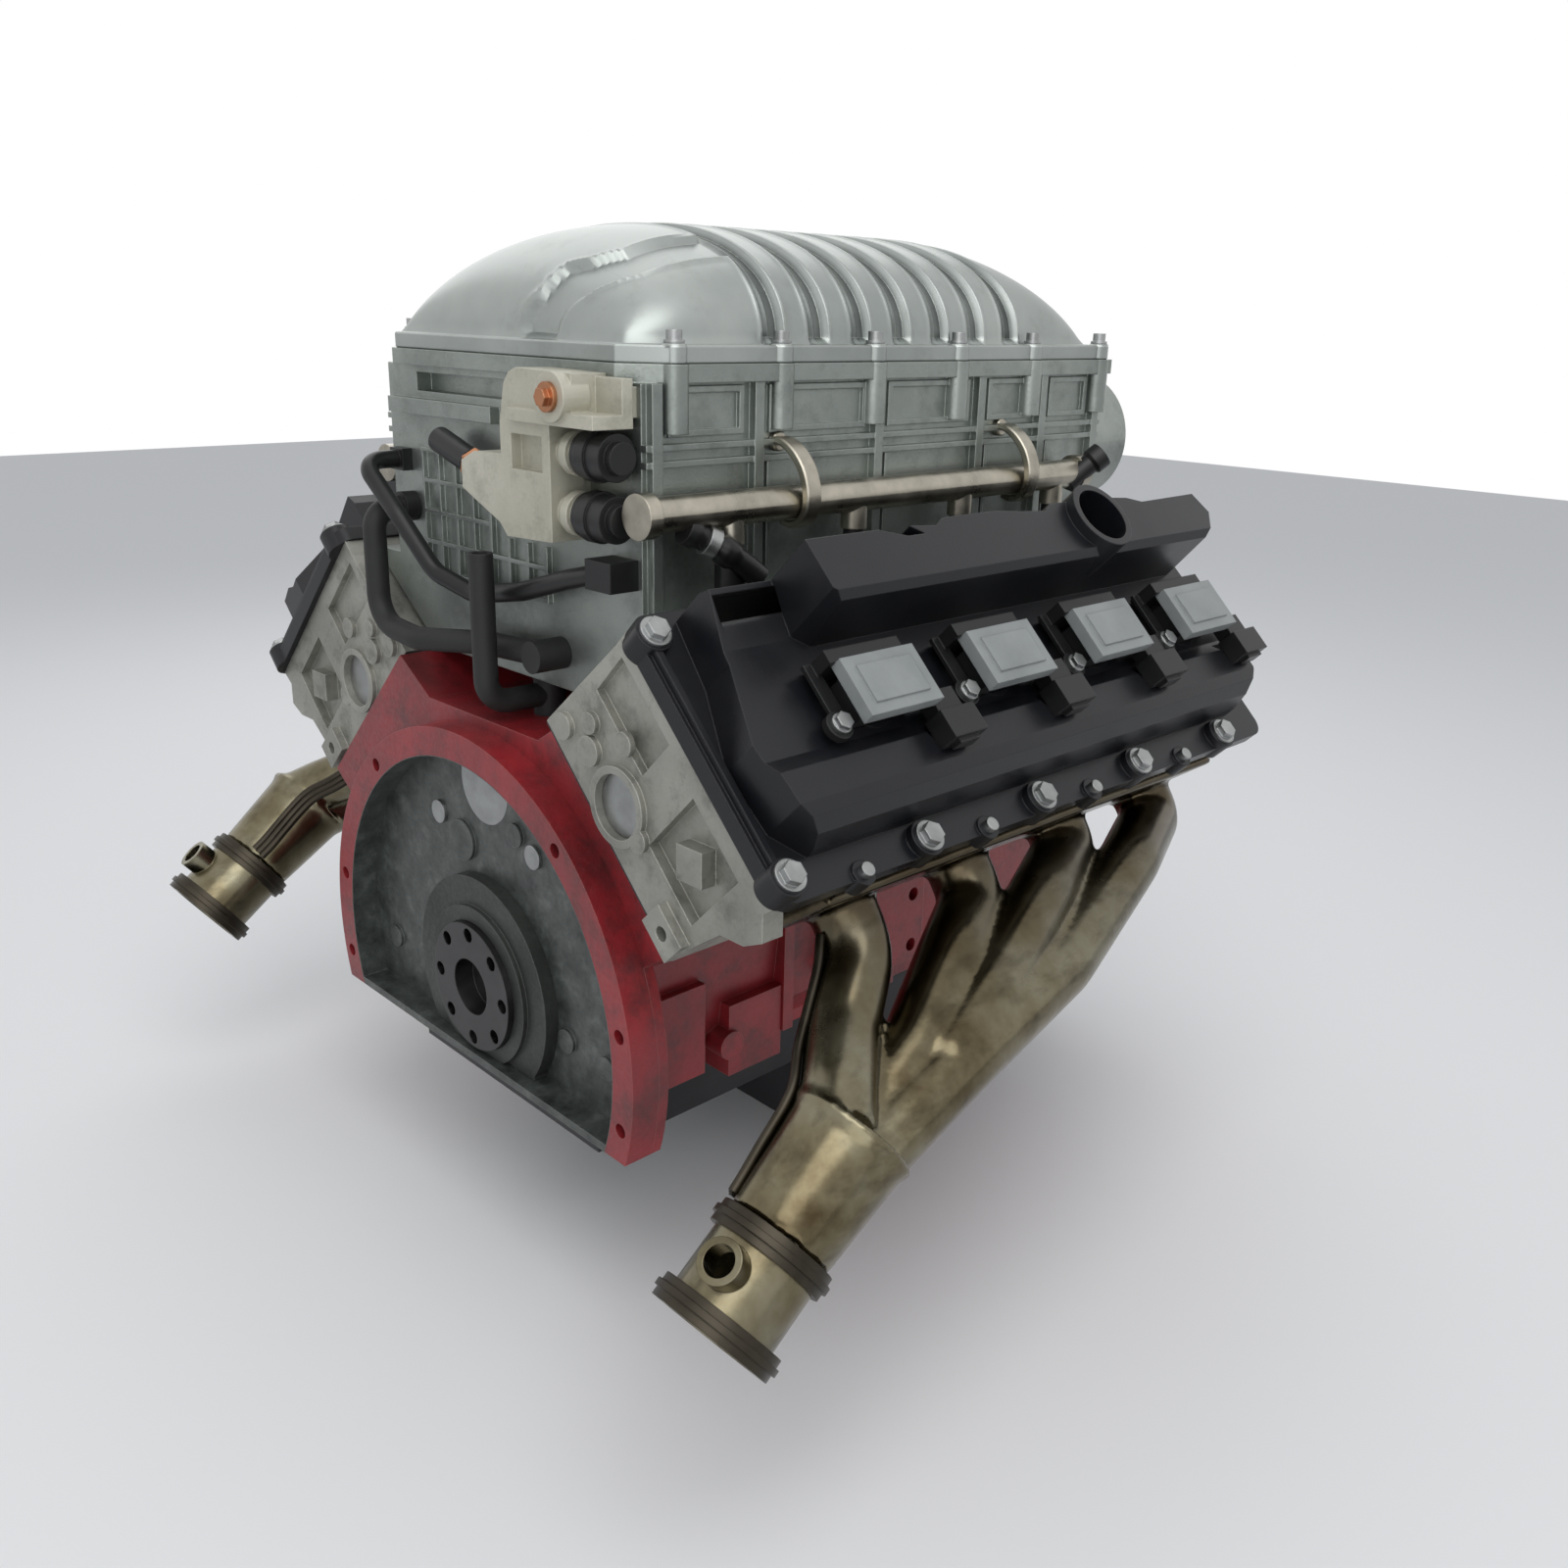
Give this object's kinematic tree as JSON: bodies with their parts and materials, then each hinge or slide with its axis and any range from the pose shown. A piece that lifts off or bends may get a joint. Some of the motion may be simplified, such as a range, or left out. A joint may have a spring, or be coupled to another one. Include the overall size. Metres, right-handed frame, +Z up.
{
  "type": "v8 engine",
  "caption": "Ninety-degree pushrod V engine with a screw supercharger under a ribbed domed lid, black valve covers and tubular exhaust manifolds.",
  "frame": {"origin": "crankshaft axis at the block's bellhousing face", "axes": "+X toward the right bank, +Y toward the front of the engine along the crankshaft, +Z up"},
  "size_m": [0.8058, 0.7367, 0.7408],
  "materials": {
    "block_paint": "deep red satin engine paint over cast iron",
    "cast_iron": "machined and as-cast iron",
    "forged_steel": "ground journals, forged webs",
    "bearing_metal": "dull bearing shell",
    "raw_aluminium": "pale sand-cast aluminium",
    "dark_cast": "dark oily casting",
    "piston_alloy": "machined alloy",
    "gasket": "coated gasket",
    "blower_silver": "silver, slightly green-grey satin casting",
    "cover_black": "satin black moulding",
    "black_plastic": "moulded black plastic",
    "coil_plate": "grey coil case",
    "zinc": "zinc plated steel",
    "header_steel": "stainless tube with golden brown heat tint",
    "rail_steel": "satin steel tube",
    "cream_cast": "cream as-cast metal",
    "pan_black": "black painted steel",
    "chain_steel": "oiled steel chain",
    "belt_rubber": "ribbed rubber belt",
    "hose_rubber": "black rubber hose",
    "plug_ceramic": "white ceramic and steel",
    "copper": "copper coloured plug"
  },
  "bodies": {
    "engine": {"engine_block": "block_paint", "bell_flange": "block_paint", "main_bearing_caps": "cast_iron", "main_bearings": "bearing_metal", "rear_seal_retainer": "dark_cast", "core_plugs": "zinc", "head_gaskets": "gasket", "cylinder_head_right": "raw_aluminium", "cylinder_head_left": "raw_aluminium", "valve_cover_right": "cover_black", "valve_cover_left": "cover_black", "exhaust_manifold_right": "header_steel", "exhaust_manifold_left": "header_steel", "exhaust_outlets": "header_steel", "band_clamps": "chain_steel", "cover_bolts": "zinc", "ignition_coils": "coil_plate", "coil_connectors": "black_plastic", "coil_bolts": "zinc", "spark_plugs": "plug_ceramic", "supercharger_housing": "blower_silver", "supercharger_lid": "blower_silver", "lid_bolts": "zinc", "charge_coolers": "raw_aluminium", "supercharger_snout": "blower_silver", "fuel_rails": "rail_steel", "rail_clamps": "rail_steel", "fuel_injectors": "black_plastic", "coolant_manifold": "cream_cast", "coolant_caps": "black_plastic", "timing_cover": "raw_aluminium", "water_pump_housing": "raw_aluminium", "oil_pan": "pan_black", "oil_pan_gasket": "gasket", "throttle_body": "blower_silver", "coolant_fittings": "copper", "hoses": "hose_rubber", "wiring_loom": "black_plastic", "timing_chain": "chain_steel", "drive_belt": "belt_rubber"},
    "crank": {"crankshaft": "forged_steel", "crank_sprocket": "chain_steel", "crank_damper": "chain_steel"},
    "cam": {"camshaft": "forged_steel", "cam_sprocket": "chain_steel"},
    "drive_rotor": {"rotor_male": "raw_aluminium", "blower_pulley": "chain_steel"},
    "driven_rotor": {"rotor_female": "raw_aluminium"},
    "pump": {"pump_pulley": "pan_black"},
    "tensioner": {"tensioner_arm": "raw_aluminium"},
    "idler": {"tensioner_pulley": "black_plastic"},
    "throttle": {"throttle_blade": "zinc"},
    "piston_right_1_body": {"piston_right_1": "piston_alloy"},
    "piston_right_2_body": {"piston_right_2": "piston_alloy"},
    "piston_right_3_body": {"piston_right_3": "piston_alloy"},
    "piston_right_4_body": {"piston_right_4": "piston_alloy"},
    "piston_left_1_body": {"piston_left_1": "piston_alloy"},
    "piston_left_2_body": {"piston_left_2": "piston_alloy"},
    "piston_left_3_body": {"piston_left_3": "piston_alloy"},
    "piston_left_4_body": {"piston_left_4": "piston_alloy"}
  },
  "joints": [
    {"name": "crank_spin", "type": "hinge", "parent": "engine", "child": "crank", "pos_m": [0, 0, 0], "axis": [0, 1, 0], "continuous": true},
    {"name": "cam_spin", "type": "hinge", "parent": "engine", "child": "cam", "pos_m": [0, 0, 0.155], "axis": [0, 1, 0], "continuous": true},
    {"name": "drive_rotor_spin", "type": "hinge", "parent": "engine", "child": "drive_rotor", "pos_m": [-0.0375, 0, 0.342], "axis": [0, 1, 0], "continuous": true},
    {"name": "driven_rotor_spin", "type": "hinge", "parent": "engine", "child": "driven_rotor", "pos_m": [0.0375, 0, 0.342], "axis": [0, 1, 0], "continuous": true},
    {"name": "pump_spin", "type": "hinge", "parent": "engine", "child": "pump", "pos_m": [0.075, 0, 0.15], "axis": [0, 1, 0], "continuous": true},
    {"name": "tensioner_swing", "type": "hinge", "parent": "engine", "child": "tensioner", "pos_m": [-0.048, 0.59, 0.145], "axis": [0, 1, 0], "range_deg": [0, 14], "stiffness_Nm_per_rad": 1.2, "springref_deg": -20.05},
    {"name": "idler_spin", "type": "hinge", "parent": "tensioner", "child": "idler", "pos_m": [-0.118, 0, 0.205], "axis": [0, 1, 0], "continuous": true},
    {"name": "throttle_turn", "type": "hinge", "parent": "engine", "child": "throttle", "pos_m": [0.078, 0.555, 0.382], "axis": [0, 0, 1], "range_deg": [0, 85], "stiffness_Nm_per_rad": 0.05, "springref_deg": -11.46},
    {"name": "piston_right_1_slide", "type": "slide", "parent": "engine", "child": "piston_right_1_body", "axis": [0.7071, 0, 0.7071], "range_m": [-0.08547, 0.00543]},
    {"name": "piston_right_2_slide", "type": "slide", "parent": "engine", "child": "piston_right_2_body", "axis": [0.7071, 0, 0.7071], "range_m": [-0.0592, 0.0317]},
    {"name": "piston_right_3_slide", "type": "slide", "parent": "engine", "child": "piston_right_3_body", "axis": [0.7071, 0, 0.7071], "range_m": [-0.02078, 0.07012]},
    {"name": "piston_right_4_slide", "type": "slide", "parent": "engine", "child": "piston_right_4_body", "axis": [0.7071, 0, 0.7071], "range_m": [-0.00309, 0.08781]},
    {"name": "piston_left_1_slide", "type": "slide", "parent": "engine", "child": "piston_left_1_body", "axis": [-0.7071, 0, 0.7071], "range_m": [-0.0592, 0.0317]},
    {"name": "piston_left_2_slide", "type": "slide", "parent": "engine", "child": "piston_left_2_body", "axis": [-0.7071, 0, 0.7071], "range_m": [-0.00309, 0.08781]},
    {"name": "piston_left_3_slide", "type": "slide", "parent": "engine", "child": "piston_left_3_body", "axis": [-0.7071, 0, 0.7071], "range_m": [-0.08547, 0.00543]},
    {"name": "piston_left_4_slide", "type": "slide", "parent": "engine", "child": "piston_left_4_body", "axis": [-0.7071, 0, 0.7071], "range_m": [-0.02078, 0.07012]}
  ],
  "couplings": [
    {"joint": "cam_spin", "follows": "crank_spin", "ratio": 0.5},
    {"joint": "drive_rotor_spin", "follows": "crank_spin", "ratio": 2.375},
    {"joint": "driven_rotor_spin", "follows": "crank_spin", "ratio": -1.425},
    {"joint": "pump_spin", "follows": "crank_spin", "ratio": 1.7273},
    {"joint": "idler_spin", "follows": "crank_spin", "ratio": 2.7941}
  ]
}
